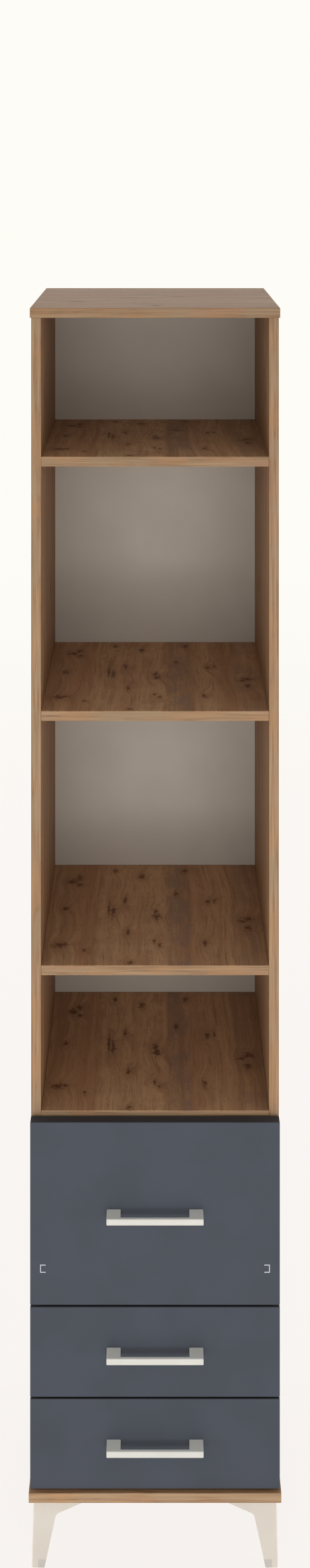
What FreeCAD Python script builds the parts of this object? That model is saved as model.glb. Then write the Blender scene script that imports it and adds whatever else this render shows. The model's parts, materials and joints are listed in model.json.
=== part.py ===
import FreeCAD, Part
import os
import re

import Sketcher

# Narrow bookcase: four open bays over three drawers, on four tapered corner legs.
# Every length is in millimetres. +Z is up, the drawers open towards -Y, and the origin is on the
# floor under the middle of the whole outline, handles included.

SIZES = {
    # carcass
    "overall_height": 2022.0,  # floor to the top board's upper face
    "carcass_width": 400.0,  # outside width over the two side panels
    "side_depth": 338.0,  # front to rear edge of a side panel
    "board_thickness": 16.0,  # every carcass board
    "edge_round": 0.6,  # eased edges of the laminated boards
    "top_side_overhang": 2.0,  # top board past each side panel
    "top_front_overhang": 3.0,  # top board past the front edges of the sides
    "base_side_overhang": 2.0,  # base board past each side panel
    "base_lip": 4.0,  # base board ahead of the drawer fronts
    "drawer_bay": 581.0,  # clear height from the base board to the divider
    "low_bay": 218.5,  # open bay over the divider
    "third_bay": 395.0,  # open bay under the middle shelf
    "second_bay": 395.0,  # open bay under the upper shelf
    # back panel, held in a groove all round
    "back_thickness": 3.0,
    "back_inset": 14.0,  # rear edge of the sides to the rear face of the back panel
    "groove_depth": 6.0,
    "groove_play": 0.2,
    "shelf_gap": 0.5,  # shelf to back panel
    # drawer fronts, laid over the carcass
    "front_thickness": 16.0,
    "front_round": 0.8,
    "face_gap": 2.0,  # carcass to the back of a front
    "base_gap": 3.0,  # base board to the lowest front
    "front_gap": 3.5,  # between fronts
    "low_front": 143.8,  # height of the two low fronts
    "front_lap": 9.1,  # top of the tall front over the lower edge of the divider
    # handles
    "handle_length": 154.0,
    "handle_reach": 21.5,  # front to the outer face of the bar
    "handle_rise": 2.3,  # handle above the middle of its front
    "post_width": 22.0,
    "bar_depth": 5.0,
    "bar_height": 10.0,
    "bar_round": 0.8,
    "handle_screw_radius": 2.0,
    "handle_screw_head": 4.0,
    "handle_screw_head_depth": 2.4,
    "handle_screw_bite": 9.0,  # length of the screw inside the handle
    # drawer boxes
    "box_side": 12.0,  # thickness of the sides and the back
    "box_back_gap": 23.0,  # rear ends of the box sides to the back panel
    "box_lift": 14.0,  # bottom of the front to the bottom of the box
    "box_drop": 29.8,  # top of the front to the top of the box
    "box_round": 0.5,
    "bottom_thickness": 3.0,
    "bottom_lift": 10.0,  # bottom of the box to the underside of its bottom
    "bottom_groove": 5.0,
    "back_dado": 4.0,
    "back_setback": 8.0,  # rear end of the sides to the rear face of the back
    "cam_radius": 6.0,
    "cam_depth": 9.0,
    "cam_place": 24.0,  # front end of the side to the middle of the cam
    "cam_edge": 24.0,  # edge of the side to the middle of the cam
    "cam_bolt_radius": 2.5,
    "cam_bolt_bite": 10.0,  # length of the bolt inside the front
    # runners: a C channel on the carcass, an angle on the drawer, and a roller on each
    "runner_space": 13.0,  # side panel to drawer box
    "runner_rise": 58.7,  # bottom of the front to the middle of the channel
    "runner_sheet": 1.5,
    "channel_height": 13.0,
    "channel_width": 9.0,
    "channel_back_gap": 17.0,  # rear end of a channel to the back panel
    "channel_setback": 4.0,  # front edge of the side to the channel
    "channel_proud": 0.3,  # tip of the tall drawer's channels ahead of its front
    "slot_play": 0.4,  # channel to its slot in the tall front
    "flange_gap": 0.8,  # channel to the angle's flange
    "flange_inset": 2.5,  # side panel to the edge of the flange
    "angle_height": 12.0,
    "hanger_length": 12.0,
    "hanger_drop": 4.0,  # hanger below the roller's axis
    "roller_width": 5.0,
    "roller_play": 0.3,  # roller to its track
    "roller_side_play": 0.2,
    "front_roller_place": 20.0,  # front edge of the side to the fixed roller's axis
    "rear_roller_setback": 13.0,  # the running roller's axis to the rear end of the box sides
    "rear_roller_inset": 3.8,  # side panel to the running roller
    "pin_radius": 1.6,
    "pin_play": 0.08,
    "pin_head": 0.8,  # head past the pin, all round
    "pin_head_depth": 0.6,
    # fasteners
    "hole_play": 0.1,
    "carcass_screw_radius": 2.5,
    "carcass_screw_head": 4.7,
    "carcass_screw_head_depth": 3.0,
    "carcass_screw_length": 50.0,
    "carcass_screw_sink": 1.0,  # board's face to the top of the head, where a cover sits
    "carcass_screw_front": 50.0,  # front edge of the side to the first screw
    "carcass_screw_rear": 60.0,  # last screw to the rear edge of the side
    "small_screw_radius": 1.8,
    "small_screw_head": 3.4,
    "small_screw_head_depth": 1.0,
    "small_screw_length": 12.0,
    "runner_screw_front": 60.0,  # front edge of the side to a runner's first screw
    "runner_screw_rear": 68.0,  # last screw to the rear end of the box sides
    # legs
    "leg_height": 112.0,
    "leg_side_inset": 4.0,  # edge of the base board to the leg
    "leg_front_inset": 9.0,
    "leg_rear_inset": 5.0,
    "leg_web": 16.0,
    "leg_splay": 2.5,  # foot past the top of the leg, on its two outer faces
    "foot_width": 20.5,
    "knee_width": 39.0,
    "knee_height": 84.0,
    "knee_round": 9.0,
    "arm_length": 101.0,
    "arm_tip": 1.5,
    "leg_corner_round": 3.0,
    "leg_plate": 4.0,
    "leg_plate_width": 62.0,
    "leg_screw_near": 26.0,  # outer faces of the leg to its screws
    "leg_screw_far": 52.0,
}

doc = FreeCAD.newDocument("bookcase")
sheet = doc.addObject("Spreadsheet::Sheet", "dims")
for row, (alias, size) in enumerate(SIZES.items(), start=1):
    sheet.set(f"A{row}", alias)
    sheet.set(f"B{row}", str(size))
    sheet.setAlias(f"B{row}", alias)
doc.recompute()

# Places that several parts share, in words of the sheet. X is from the middle of the bookcase, and
# Y is from the front edges of the side panels, which each body's own Placement puts in the frame.
INSIDE = "(carcass_width / 2 - board_thickness)"
FACE = "(-face_gap - front_thickness)"
CARCASS_FRONT = f"(side_depth - ({FACE}) + handle_reach) / 2 - side_depth"
BACK_FRONT = "(side_depth - back_inset - back_thickness)"
BASE_TOP = "(leg_height + board_thickness)"
DIVIDER = f"({BASE_TOP} + drawer_bay)"
LOWER_SHELF = f"({DIVIDER} + board_thickness + low_bay)"
MIDDLE_SHELF = f"({LOWER_SHELF} + board_thickness + third_bay)"
UPPER_SHELF = f"({MIDDLE_SHELF} + board_thickness + second_bay)"
TOP = "(overall_height - board_thickness)"
LOWER_FRONT = f"({BASE_TOP} + base_gap)"
MIDDLE_FRONT = f"({LOWER_FRONT} + low_front + front_gap)"
TALL_FRONT = f"({MIDDLE_FRONT} + low_front + front_gap)"
TALL_FRONT_SIZE = f"({DIVIDER} + front_lap - {TALL_FRONT})"
BOX_HALF = f"({INSIDE} - runner_space)"
BOX_REAR = f"({BACK_FRONT} - box_back_gap)"
BOX_BACK_REAR = f"({BOX_REAR} - back_setback)"
BOX_BACK_FRONT = f"({BOX_BACK_REAR} - box_side)"
CHANNEL_REAR = f"({BACK_FRONT} - channel_back_gap)"
REAR_ROLLER_PLACE = f"({BOX_REAR} - rear_roller_setback)"
ROLLER_RADIUS = "(channel_height / 2 - runner_sheet - roller_play)"
FLANGE = "(runner_rise + channel_height / 2 + flange_gap)"
FRONT_ROLLER_HEIGHT = f"({FLANGE} - roller_play - {ROLLER_RADIUS})"
FRONT_ROLLER_START = "(runner_sheet + roller_side_play)"
FRONT_ROLLER_END = f"({FRONT_ROLLER_START} + roller_width)"
REAR_ROLLER_END = "(rear_roller_inset + roller_width)"
LEG_X = "(carcass_width / 2 + base_side_overhang - leg_side_inset)"
LEG_Y_FRONT = f"({FACE} - base_lip + leg_front_inset)"
LEG_Y_REAR = "(side_depth - leg_rear_inset)"

SCREW_YS = ("carcass_screw_front", "(side_depth - carcass_screw_rear)")
RUNNER_SCREW_YS = ("runner_screw_front", f"({BOX_REAR} - runner_screw_rear)")
LEFT, RIGHT = -1, 1
SIDES = {"left": LEFT, "right": RIGHT}


def bound(words):
    """The same expression with each word of the sheet made a reference to its cell."""
    return re.sub(r"[a-z_]+", lambda found: "dims." + found.group(), words)


def part(label, height="0"):
    """A new sub-part, placed with its local Y at the carcass front and its local Z at a height."""
    body = doc.addObject("PartDesign::Body", label)
    body.Label = label
    body.AllowCompound = True
    body.setExpression("Placement.Base.y", bound(CARCASS_FRONT))
    body.setExpression("Placement.Base.z", bound(height))
    return body


def new_sketch(body, plane, name, lift):
    """An empty sketch on one of the body's own planes, moved along that plane's normal."""
    sketch = body.newObject("Sketcher::SketchObject", name + "_sketch")
    support = [item for item in body.Origin.OriginFeatures if item.Role == plane]
    sketch.AttachmentSupport = [(support[0], "")]
    sketch.MapMode = "FlatFace"
    sketch.setExpression("AttachmentOffset.Base.z", bound(lift))
    return sketch


def tie_point(sketch, geometry, point, place, guess):
    """Holds one point of a sketch at a place written in words of the sheet."""
    kinds = ("DistanceX", "DistanceY")
    for kind, words, start in zip(kinds, place, guess):
        index = sketch.addConstraint(Sketcher.Constraint(kind, -1, 1, geometry, point, start))
        sketch.setExpression(f"Constraints[{index}]", bound(words))


def outline(body, plane, name, corners, lift):
    """A closed outline of straight lines, every corner tied to the sheet."""
    sketch = new_sketch(body, plane, name, lift)
    spots = [(Part.Circle().value(index * 6.0 / len(corners))) for index in range(len(corners))]
    for index, spot in enumerate(spots):
        following = spots[(index + 1) % len(spots)]
        sketch.addGeometry(Part.LineSegment(spot, following), False)
    for index, (corner, spot) in enumerate(zip(corners, spots)):
        following = (index + 1) % len(corners)
        sketch.addConstraint(Sketcher.Constraint("Coincident", index, 2, following, 1))
        tie_point(sketch, index, 1, corner, (spot.x, spot.y))
    return sketch


def circles(body, plane, name, centres, radius, lift):
    """Circles of one radius about the given centres."""
    sketch = new_sketch(body, plane, name, lift)
    for index, centre in enumerate(centres):
        spot = FreeCAD.Vector(4.0 * index, 0, 0)
        sketch.addGeometry(Part.Circle(spot, FreeCAD.Vector(0, 0, 1), 1.0), False)
        tie_point(sketch, index, 3, centre, (spot.x, spot.y))
        size = sketch.addConstraint(Sketcher.Constraint("Radius", index, 1.0))
        sketch.setExpression(f"Constraints[{size}]", bound(radius))
    return sketch


def add(body, sketch, name, length, toward):
    """Pads a sketch along (1) or against (-1) its normal."""
    pad = body.newObject("PartDesign::Pad", name)
    pad.Profile = sketch
    pad.setExpression("Length", bound(length))
    pad.Reversed = toward < 0
    doc.recompute()
    return pad


def cut(body, sketch, name, length, toward):
    """Cuts a sketch into the body along (1) or against (-1) its normal."""
    before = body.Shape.Volume
    pocket = body.newObject("PartDesign::Pocket", name)
    pocket.Profile = sketch
    pocket.setExpression("Length", bound(length))
    pocket.Reversed = toward > 0
    doc.recompute()
    if not body.Shape.Volume < before:
        raise ValueError(f"{body.Label}: {name} cuts nothing")
    return pocket


def rectangle(low, high):
    """The four corners of a rectangle between two points."""
    return [low, (high[0], low[1]), high, (low[0], high[1])]


def slab(body, name, low, high):
    """A rectangular block between two corners."""
    corners = rectangle(low[:2], high[:2])
    sketch = outline(body, "XY_Plane", name, corners, low[2])
    return add(body, sketch, name, f"({high[2]}) - ({low[2]})", 1)


def trench(body, name, low, high):
    """A rectangular cut between two corners."""
    corners = rectangle(low[:2], high[:2])
    sketch = outline(body, "XY_Plane", name, corners, high[2])
    return cut(body, sketch, name, f"({high[2]}) - ({low[2]})", -1)


def rods(body, plane, name, centres, radius, start, length, toward):
    """Round pads from a start height along or against a plane's normal."""
    sketch = circles(body, plane, name, centres, radius, start)
    return add(body, sketch, name, length, toward)


def holes(body, plane, name, centres, radius, start, length, toward):
    """Round cuts from a start height along or against a plane's normal."""
    sketch = circles(body, plane, name, centres, radius, start)
    return cut(body, sketch, name, length, toward)


def ease(body, feature, size, chosen=None):
    """Chamfers the chosen edges of a feature, or all of them."""
    names = [
        f"Edge{index}"
        for index, edge in enumerate(feature.Shape.Edges, start=1)
        if chosen is None or chosen(edge)
    ]
    chamfer = body.newObject("PartDesign::Chamfer", "eased_edges")
    chamfer.Base = (feature, names)
    chamfer.setExpression("Size", bound(size))
    doc.recompute()
    return chamfer


def rounded(body, feature, name, size, chosen):
    """Fillets the chosen edges of a feature."""
    names = [
        f"Edge{index}"
        for index, edge in enumerate(feature.Shape.Edges, start=1)
        if chosen(edge)
    ]
    fillet = body.newObject("PartDesign::Fillet", name)
    fillet.Base = (feature, names)
    fillet.setExpression("Radius", bound(size))
    doc.recompute()
    return fillet


def mirrored(side, words):
    """The words for a place on the left or right side, measured out from the middle."""
    return f"{side} * ({words})"


def grid(firsts, seconds):
    """Every pair of the two lists."""
    return [(first, second) for first in firsts for second in seconds]


# ---------------------------------------------------------------- carcass

SCREW_HOLE = "carcass_screw_radius + hole_play"
HEAD_HOLE = "carcass_screw_head + hole_play"
HEAD_SEAT = "carcass_screw_sink + carcass_screw_head_depth"
SCREW_BITE = "carcass_screw_sink + carcass_screw_length - board_thickness + hole_play"
SIDE_MIDDLE = "carcass_width / 2 - board_thickness / 2"
BOARD_MIDDLES = [
    f"{level} - {BASE_TOP} + board_thickness / 2"
    for level in (DIVIDER, LOWER_SHELF, MIDDLE_SHELF, UPPER_SHELF)
]
CHANNEL_HEIGHTS = [
    f"{front} - {BASE_TOP} + runner_rise" for front in (LOWER_FRONT, MIDDLE_FRONT, TALL_FRONT)
]


def side_panel(label, side):
    """A tall side panel, grooved for the back and bored for its screws."""
    body = part(label, BASE_TOP)
    outer = mirrored(side, "carcass_width / 2")
    inner = mirrored(side, INSIDE)
    height = f"{TOP} - {BASE_TOP}"
    board = slab(body, "board", (outer, "0", "0"), (inner, "side_depth", height))
    ease(body, board, "edge_round")
    bottom_of_groove = mirrored(side, f"{INSIDE} + groove_depth")
    trench(
        body,
        "back_groove",
        (inner, f"{BACK_FRONT} - groove_play", "0"),
        (bottom_of_groove, f"{BACK_FRONT} + back_thickness + groove_play", height),
    )
    screws = grid(SCREW_YS, BOARD_MIDDLES)
    holes(body, "YZ_Plane", "shelf_bores", screws, SCREW_HOLE, outer, "board_thickness", -side)
    holes(body, "YZ_Plane", "head_seats", screws, HEAD_HOLE, outer, HEAD_SEAT, -side)
    ends = grid([mirrored(side, SIDE_MIDDLE)], SCREW_YS)
    holes(body, "XY_Plane", "top_pilots", ends, SCREW_HOLE, height, SCREW_BITE, -1)
    holes(body, "XY_Plane", "base_pilots", ends, SCREW_HOLE, "0", SCREW_BITE, 1)
    runner_screws = grid(RUNNER_SCREW_YS, CHANNEL_HEIGHTS)
    holes(body, "YZ_Plane", "runner_pilots", runner_screws, "small_screw_radius + hole_play", inner,
          "small_screw_length", side)
    return body


def shelf(label, height):
    """A fixed board between the sides, bored in its ends."""
    body = part(label, height)
    board = slab(
        body,
        "board",
        (mirrored(LEFT, INSIDE), "0", "0"),
        (INSIDE, f"{BACK_FRONT} - shelf_gap", "board_thickness"),
    )
    ease(body, board, "edge_round")
    pilots = grid(SCREW_YS, ["board_thickness / 2"])
    for word, side in SIDES.items():
        end = mirrored(side, INSIDE)
        holes(body, "YZ_Plane", f"{word}_pilots", pilots, SCREW_HOLE, end, SCREW_BITE, -side)
    return body


def cap_board(label, height, half_width, front, groove_low, groove_high, head_level, toward):
    """The top or base board: grooved for the back, bored for the screws into the sides."""
    body = part(label, height)
    board = slab(
        body,
        "board",
        (mirrored(LEFT, half_width), front, "0"),
        (half_width, "side_depth", "board_thickness"),
    )
    ease(body, board, "edge_round")
    reach = f"{INSIDE} + groove_depth"
    trench(
        body,
        "back_groove",
        (mirrored(LEFT, reach), f"{BACK_FRONT} - groove_play", groove_low),
        (reach, f"{BACK_FRONT} + back_thickness + groove_play", groove_high),
    )
    screws = grid([mirrored(side, SIDE_MIDDLE) for side in (LEFT, RIGHT)], SCREW_YS)
    holes(body, "XY_Plane", "side_bores", screws, SCREW_HOLE, head_level, "board_thickness", toward)
    holes(body, "XY_Plane", "head_seats", screws, HEAD_HOLE, head_level, HEAD_SEAT, toward)
    return body


def leg_place(side, end, inward_x, inward_y):
    """A point measured in from the two outer faces of a leg at one corner."""
    across = f"{side} * ({LEG_X} - ({inward_x}))"
    if end == "front":
        return across, f"{LEG_Y_FRONT} + ({inward_y})"
    return across, f"{LEG_Y_REAR} - ({inward_y})"


LEG_SCREWS = (
    ("leg_screw_near", "leg_screw_near"),
    ("leg_screw_far", "leg_screw_near"),
    ("leg_screw_near", "leg_screw_far"),
)


def leg_screw_places():
    """The screws of all four legs."""
    return [
        leg_place(side, end, inward_x, inward_y)
        for side in (LEFT, RIGHT)
        for end in ("front", "rear")
        for inward_x, inward_y in LEG_SCREWS
    ]


def base_board():
    """The base board, with pilot holes for the leg screws."""
    body = cap_board("base_board", "leg_height", "(carcass_width / 2 + base_side_overhang)",
                     f"({FACE} - base_lip)", "board_thickness - groove_depth", "board_thickness",
                     "0", 1)
    holes(body, "XY_Plane", "leg_pilots", leg_screw_places(), "small_screw_radius + hole_play",
          "0", "small_screw_length", 1)


def back_panel():
    """The thin back, standing in the grooves of the sides, the base board and the top board."""
    body = part("back_panel")
    reach = f"({INSIDE} + groove_depth - groove_play)"
    slab(
        body,
        "panel",
        (mirrored(LEFT, reach), BACK_FRONT, f"{BASE_TOP} - groove_depth"),
        (reach, f"{BACK_FRONT} + back_thickness", f"({TOP} + groove_depth - groove_play)"),
    )


def carcass_screws():
    """Long screws: sideways into the shelves, and up and down into the side panels."""
    body = part("carcass_screws", BASE_TOP)
    top_head = f"{TOP} - {BASE_TOP} + board_thickness - carcass_screw_sink"
    base_head = "carcass_screw_sink - board_thickness"
    for word, side in SIDES.items():
        outer = mirrored(side, "carcass_width / 2 - carcass_screw_sink")
        rows = grid(SCREW_YS, BOARD_MIDDLES)
        rods(body, "YZ_Plane", f"{word}_shanks", rows, "carcass_screw_radius", outer,
             "carcass_screw_length", -side)
        rods(body, "YZ_Plane", f"{word}_heads", rows, "carcass_screw_head", outer,
             "carcass_screw_head_depth", -side)
    ends = grid([mirrored(side, SIDE_MIDDLE) for side in (LEFT, RIGHT)], SCREW_YS)
    for word, level, toward in (("top", top_head, -1), ("base", base_head, 1)):
        rods(body, "XY_Plane", f"{word}_shanks", ends, "carcass_screw_radius", level,
             "carcass_screw_length", toward)
        rods(body, "XY_Plane", f"{word}_heads", ends, "carcass_screw_head", level,
             "carcass_screw_head_depth", toward)


def small_screws(body, plane, name, centres, under_head, toward):
    """Short flat-headed screws: the head lies behind the face that it holds."""
    rods(body, plane, name + "_shanks", centres, "small_screw_radius", under_head,
         "small_screw_length - hole_play", toward)
    rods(body, plane, name + "_heads", centres, "small_screw_head", under_head,
         "small_screw_head_depth", -toward)


def mounting_screws():
    """The screws that hold the legs and the runner channels to the carcass."""
    body = part("mounting_screws", BASE_TOP)
    plate_face = "-board_thickness - leg_plate"
    small_screws(body, "XY_Plane", "leg", leg_screw_places(), plate_face, 1)
    for word, side in SIDES.items():
        face = mirrored(side, f"{INSIDE} - runner_sheet")
        small_screws(body, "YZ_Plane", f"{word}_channel", grid(RUNNER_SCREW_YS, CHANNEL_HEIGHTS),
                     face, side)


# ---------------------------------------------------------------- legs

def leg_web_outline(corner):
    """One web of a leg: a tapered foot under a long arm. The corner turns a distance in from the
    outer face into a place along the web."""
    return [
        (corner("0"), "0"),
        (corner("foot_width"), "0"),
        (corner("knee_width"), "knee_height"),
        (corner("arm_length"), "leg_height - arm_tip"),
        (corner("arm_length"), "leg_height"),
        (corner("0"), "leg_height"),
    ]


def leg_splay_outline(corner):
    """The wedge that leans the outer face of a web outwards to the foot."""
    return [
        (corner("0"), "0"),
        (corner("leg_splay"), "leg_height"),
        (corner("0"), "leg_height"),
    ]


def leg(label, side, end):
    """A moulded corner leg: two tapered webs, a plate in the corner and three screw holes."""
    body = part(label)
    into = 1 if end == "front" else -1
    outer_x = mirrored(side, LEG_X)
    outer_y = LEG_Y_FRONT if end == "front" else LEG_Y_REAR

    def across(inward):
        return leg_place(side, end, inward, "0")[0]

    def along(inward):
        return leg_place(side, end, "0", inward)[1]

    face = outline(body, "XZ_Plane", "face_web", leg_web_outline(across), f"-1 * ({outer_y})")
    add(body, face, "face_web", "leg_web", -into)
    flank = outline(body, "YZ_Plane", "flank_web", leg_web_outline(along), outer_x)
    webs = add(body, flank, "flank_web", "leg_web", -side)

    def is_knee(edge):
        middle = edge.CenterOfMass
        return abs(middle.z - sheet.knee_height) < 0.01 and abs(edge.Length - sheet.leg_web) < 0.01

    rounded(body, webs, "knees", "knee_round", is_knee)
    near = leg_place(side, end, "leg_web / 2", "leg_web / 2")
    far = leg_place(side, end, "leg_plate_width", "leg_plate_width")
    slab(body, "plate", (*near, "leg_height - leg_plate"), (*far, "leg_height"))
    holes(body, "XY_Plane", "screw_holes",
          [leg_place(side, end, inward_x, inward_y) for inward_x, inward_y in LEG_SCREWS],
          "small_screw_radius + hole_play", "leg_height", "leg_plate", -1)
    wedge = outline(body, "XZ_Plane", "face_splay", leg_splay_outline(across),
                    f"-1 * ({outer_y})")
    cut(body, wedge, "face_splay", "arm_length", -into)
    wedge = outline(body, "YZ_Plane", "flank_splay", leg_splay_outline(along), outer_x)
    leaning = cut(body, wedge, "flank_splay", "arm_length", -side)

    corner = FreeCAD.Vector(
        side * (sheet.carcass_width / 2 + sheet.base_side_overhang - sheet.leg_side_inset),
        leaning.Shape.BoundBox.YMin if end == "front" else leaning.Shape.BoundBox.YMax,
        0,
    )

    def is_corner(edge):
        reach = min(vertex.Point.distanceToPoint(corner) for vertex in edge.Vertexes)
        return reach < 0.01 and edge.Length > sheet.knee_height

    rounded(body, leaning, "corner", "leg_corner_round", is_corner)


# ---------------------------------------------------------------- runners

def inward(side, distance):
    """A place measured in from the inner face of a side panel."""
    return f"{side} * ({INSIDE} - ({distance}))"


def channel_section(side, play="0"):
    """The C section of a channel, open to the drawer and grown by a play for its slot."""
    half = "channel_height / 2"
    low, high = f"runner_rise - {half}", f"runner_rise + {half}"
    return [
        (inward(side, f"-1 * {play}"), f"{low} - {play}"),
        (inward(side, f"channel_width + {play}"), f"{low} - {play}"),
        (inward(side, f"channel_width + {play}"), f"{low} + runner_sheet + {play}"),
        (inward(side, f"runner_sheet + {play}"), f"{low} + runner_sheet + {play}"),
        (inward(side, f"runner_sheet + {play}"), f"{high} - runner_sheet - {play}"),
        (inward(side, f"channel_width + {play}"), f"{high} - runner_sheet - {play}"),
        (inward(side, f"channel_width + {play}"), f"{high} + {play}"),
        (inward(side, f"-1 * {play}"), f"{high} + {play}"),
    ]


def runner_channel(label, side, height, tip):
    """The channel on a side panel, with the fixed roller's pin at its front."""
    body = part(label, height)
    section = outline(body, "XZ_Plane", "channel", channel_section(side), f"-1 * ({tip})")
    add(body, section, "channel", f"{CHANNEL_REAR} - ({tip})", -1)
    window = f"({ROLLER_RADIUS} + flange_gap)"
    trench(
        body,
        "roller_window",
        (inward(side, "runner_sheet"), f"front_roller_place - {window}", "runner_rise"),
        (inward(side, "channel_width"), f"front_roller_place + {window}",
         "runner_rise + channel_height / 2"),
    )
    axis = [("front_roller_place", FRONT_ROLLER_HEIGHT)]
    rods(body, "YZ_Plane", "pin", axis, "pin_radius", inward(side, "runner_sheet"),
         f"{FRONT_ROLLER_END} + roller_side_play - runner_sheet", -side)
    rods(body, "YZ_Plane", "pin_head", axis, "pin_radius + pin_head",
         inward(side, f"{FRONT_ROLLER_END} + roller_side_play"), "pin_head_depth", -side)
    holes(body, "YZ_Plane", "screw_holes", grid(RUNNER_SCREW_YS, ["runner_rise"]),
          "small_screw_radius + hole_play", inward(side, "0"), "runner_sheet", -side)


def runner_angle(label, side, height):
    """The angle on a drawer side, with a hanger and the running roller's pin at its rear."""
    body = part(label, height)
    web = "runner_space - runner_sheet"
    section = [
        (inward(side, "flange_inset"), FLANGE),
        (inward(side, "runner_space"), FLANGE),
        (inward(side, "runner_space"), f"{FLANGE} + angle_height"),
        (inward(side, web), f"{FLANGE} + angle_height"),
        (inward(side, web), f"{FLANGE} + runner_sheet"),
        (inward(side, "flange_inset"), f"{FLANGE} + runner_sheet"),
    ]
    profile = outline(body, "XZ_Plane", "angle", section, "face_gap")
    add(body, profile, "angle", f"{BOX_REAR} + face_gap", -1)
    slab(
        body,
        "hanger",
        (inward(side, web), f"{REAR_ROLLER_PLACE} - hanger_length / 2", "runner_rise - hanger_drop"),
        (inward(side, "runner_space"), f"{REAR_ROLLER_PLACE} + hanger_length / 2", FLANGE),
    )
    axis = [(REAR_ROLLER_PLACE, "runner_rise")]
    shoulder = f"({REAR_ROLLER_END} + roller_side_play)"
    rods(body, "YZ_Plane", "shoulder", axis, "pin_radius + pin_head", inward(side, web),
         f"{web} - {shoulder}", side)
    rods(body, "YZ_Plane", "pin", axis, "pin_radius", inward(side, shoulder),
         f"{shoulder} - rear_roller_inset + roller_side_play", side)
    rods(body, "YZ_Plane", "pin_head", axis, "pin_radius + pin_head",
         inward(side, "rear_roller_inset - roller_side_play"), "pin_head_depth", side)
    holes(body, "YZ_Plane", "screw_holes", runner_angle_screws(), "small_screw_radius + hole_play",
          inward(side, "runner_space"), "runner_sheet", side)


def runner_angle_screws():
    """The two screws that hold an angle to its drawer side."""
    return grid(RUNNER_SCREW_YS, [f"{FLANGE} + (runner_sheet + angle_height) / 2"])


def rollers(label, height, place, level, start):
    """A left and a right roller on one axis, bored for their pins."""
    body = part(label, height)
    for word, side in SIDES.items():
        face = inward(side, start)
        rods(body, "YZ_Plane", f"{word}_roller", [(place, level)], ROLLER_RADIUS, face,
             "roller_width", -side)
    for word, side in SIDES.items():
        face = inward(side, start)
        holes(body, "YZ_Plane", f"{word}_bore", [(place, level)], "pin_radius + pin_play", face,
              "roller_width", -side)


# ---------------------------------------------------------------- drawers

HANDLE_SCREW_X = "handle_length / 2 - post_width / 2"
BOLT_X = f"{BOX_HALF} - box_side / 2"
BOTTOM = "(box_lift + bottom_lift)"


def cam_levels(box_height):
    """Heights of the two cams in a drawer side."""
    return ["box_lift + cam_edge", f"box_lift + {box_height} - cam_edge"]


def drawer_front(label, height, front_height, box_height, channel_slots):
    """A laid-on front, bored for its handle and cam bolts and grooved for the drawer bottom."""
    body = part(label, height)
    board = slab(
        body,
        "board",
        (mirrored(LEFT, "carcass_width / 2"), FACE, "0"),
        ("carcass_width / 2", "-1 * face_gap", front_height),
    )
    ease(body, board, "front_round")
    handle_screws = grid([mirrored(side, HANDLE_SCREW_X) for side in (LEFT, RIGHT)],
                         [f"{front_height} / 2 + handle_rise"])
    holes(body, "XZ_Plane", "handle_bores", handle_screws, "handle_screw_radius + hole_play",
          "face_gap", "front_thickness", 1)
    bolts = grid([mirrored(side, BOLT_X) for side in (LEFT, RIGHT)], cam_levels(box_height))
    holes(body, "XZ_Plane", "bolt_holes", bolts, "cam_bolt_radius + hole_play", "face_gap",
          "cam_bolt_bite + hole_play", 1)
    reach = f"{BOX_HALF} - box_side + bottom_groove"
    trench(
        body,
        "bottom_groove",
        (mirrored(LEFT, reach), "-1 * face_gap - bottom_groove", BOTTOM),
        (reach, "-1 * face_gap", f"({BOTTOM} + bottom_thickness + groove_play)"),
    )
    if channel_slots:
        for word, side in SIDES.items():
            section = outline(body, "XZ_Plane", f"{word}_slot",
                              channel_section(side, "slot_play"), f"-1 * {FACE}")
            cut(body, section, f"{word}_slot", "front_thickness", -1)


def drawer_side(label, side, height, box_height):
    """A box side: grooved for the bottom, dadoed for the back, bored for cams and runner screws."""
    body = part(label, height)
    outer = mirrored(side, BOX_HALF)
    inner = mirrored(side, f"{BOX_HALF} - box_side")
    board = slab(
        body,
        "board",
        (outer, "-1 * face_gap", "box_lift"),
        (inner, BOX_REAR, f"(box_lift + {box_height})"),
    )
    ease(body, board, "box_round")
    trench(
        body,
        "bottom_groove",
        (inner, "-1 * face_gap", BOTTOM),
        (mirrored(side, f"{BOX_HALF} - box_side + bottom_groove"), BOX_BACK_REAR,
         f"({BOTTOM} + bottom_thickness + groove_play)"),
    )
    trench(
        body,
        "back_dado",
        (inner, f"{BOX_BACK_FRONT} - groove_play", "box_lift"),
        (mirrored(side, f"{BOX_HALF} - box_side + back_dado"), f"{BOX_BACK_REAR} + groove_play",
         f"(box_lift + {box_height})"),
    )
    cams = grid(["cam_place - face_gap"], cam_levels(box_height))
    holes(body, "YZ_Plane", "cam_holes", cams, "cam_radius + hole_play", outer,
          "cam_depth + hole_play", -side)
    bolts = grid([mirrored(side, BOLT_X)], cam_levels(box_height))
    holes(body, "XZ_Plane", "bolt_bores", bolts, "cam_bolt_radius + hole_play", "face_gap",
          "cam_place", -1)
    holes(body, "YZ_Plane", "runner_pilots", runner_angle_screws(),
          "small_screw_radius + hole_play", outer, "small_screw_length - runner_sheet", -side)


def drawer_back(label, height, box_height):
    """The box back, its ends in the dados of the sides, grooved for the bottom."""
    body = part(label, height)
    reach = f"({BOX_HALF} - box_side + back_dado - groove_play)"
    board = slab(
        body,
        "board",
        (mirrored(LEFT, reach), BOX_BACK_FRONT, "box_lift"),
        (reach, BOX_BACK_REAR, f"(box_lift + {box_height})"),
    )
    ease(body, board, "box_round")
    trench(
        body,
        "bottom_groove",
        (mirrored(LEFT, reach), BOX_BACK_FRONT, BOTTOM),
        (reach, f"{BOX_BACK_FRONT} + bottom_groove",
         f"({BOTTOM} + bottom_thickness + groove_play)"),
    )


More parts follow.
